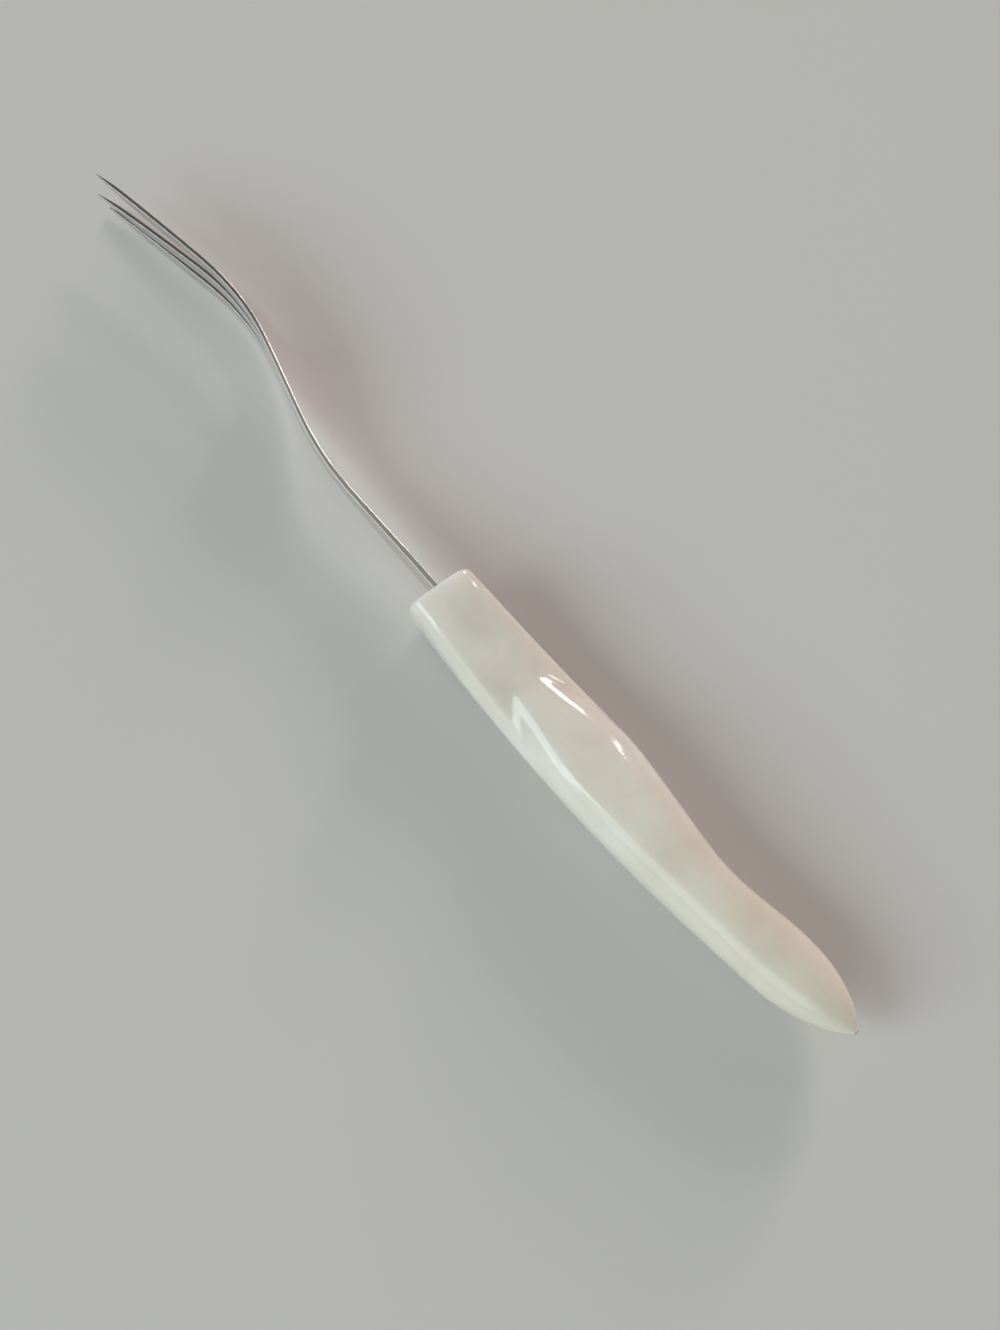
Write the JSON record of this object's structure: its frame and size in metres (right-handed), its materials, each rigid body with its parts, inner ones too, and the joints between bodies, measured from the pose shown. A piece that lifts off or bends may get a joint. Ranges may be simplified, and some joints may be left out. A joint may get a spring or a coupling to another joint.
{
  "type": "turning fork",
  "caption": "Slim kitchen turning fork: stamped steel head with an offset bent shank and a hidden tang cemented into a moulded pearl hand grip.",
  "frame": {"origin": "centre of the bounding box at the surface that the fork lies on", "axes": "+X from the handle's tail to the tine tips, +Y up in use (the handle's back), +Z up off the table, across the tines"},
  "size_m": [0.274, 0.022, 0.02],
  "materials": {
    "polished_steel": "polished, stamped",
    "pearl_resin": "gloss, pearl",
    "cement": "matte, cured in place"
  },
  "bodies": {
    "root": {"fork_blade": "polished_steel", "handle": "pearl_resin", "tang_cement": "cement"}
  },
  "joints": []
}
